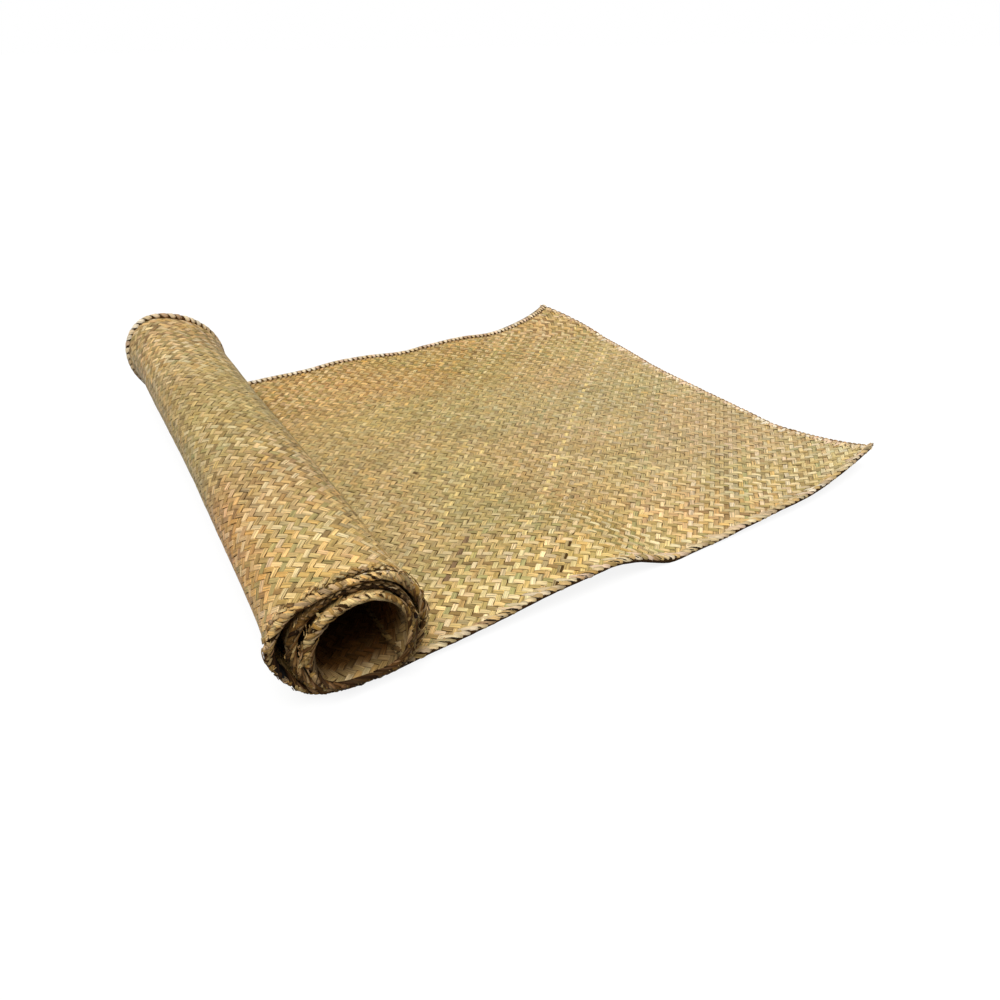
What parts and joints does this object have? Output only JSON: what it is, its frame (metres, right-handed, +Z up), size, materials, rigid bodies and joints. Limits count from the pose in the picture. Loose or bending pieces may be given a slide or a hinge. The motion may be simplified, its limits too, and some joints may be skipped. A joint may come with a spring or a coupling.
{
  "type": "plaited flax floor mat",
  "caption": "Plaited flax strip floor mat lying half unrolled, with a turned braided edge, a soft wave, curled corners and a loose hollow roll.",
  "frame": {"origin": "on the floor, under the middle of the half-rolled mat's bounding box", "axes": "+X along the mat from the roll to the loose end, +Y across it from the front edge to the back edge, +Z up from the floor"},
  "size_m": [0.8822, 0.8516, 0.1525],
  "materials": {
    "flax": "dried and dyed plant strips, satin sheen on the strips, rough broken ends on the edges"
  },
  "bodies": {
    "root": {"mat": "flax"}
  },
  "joints": []
}
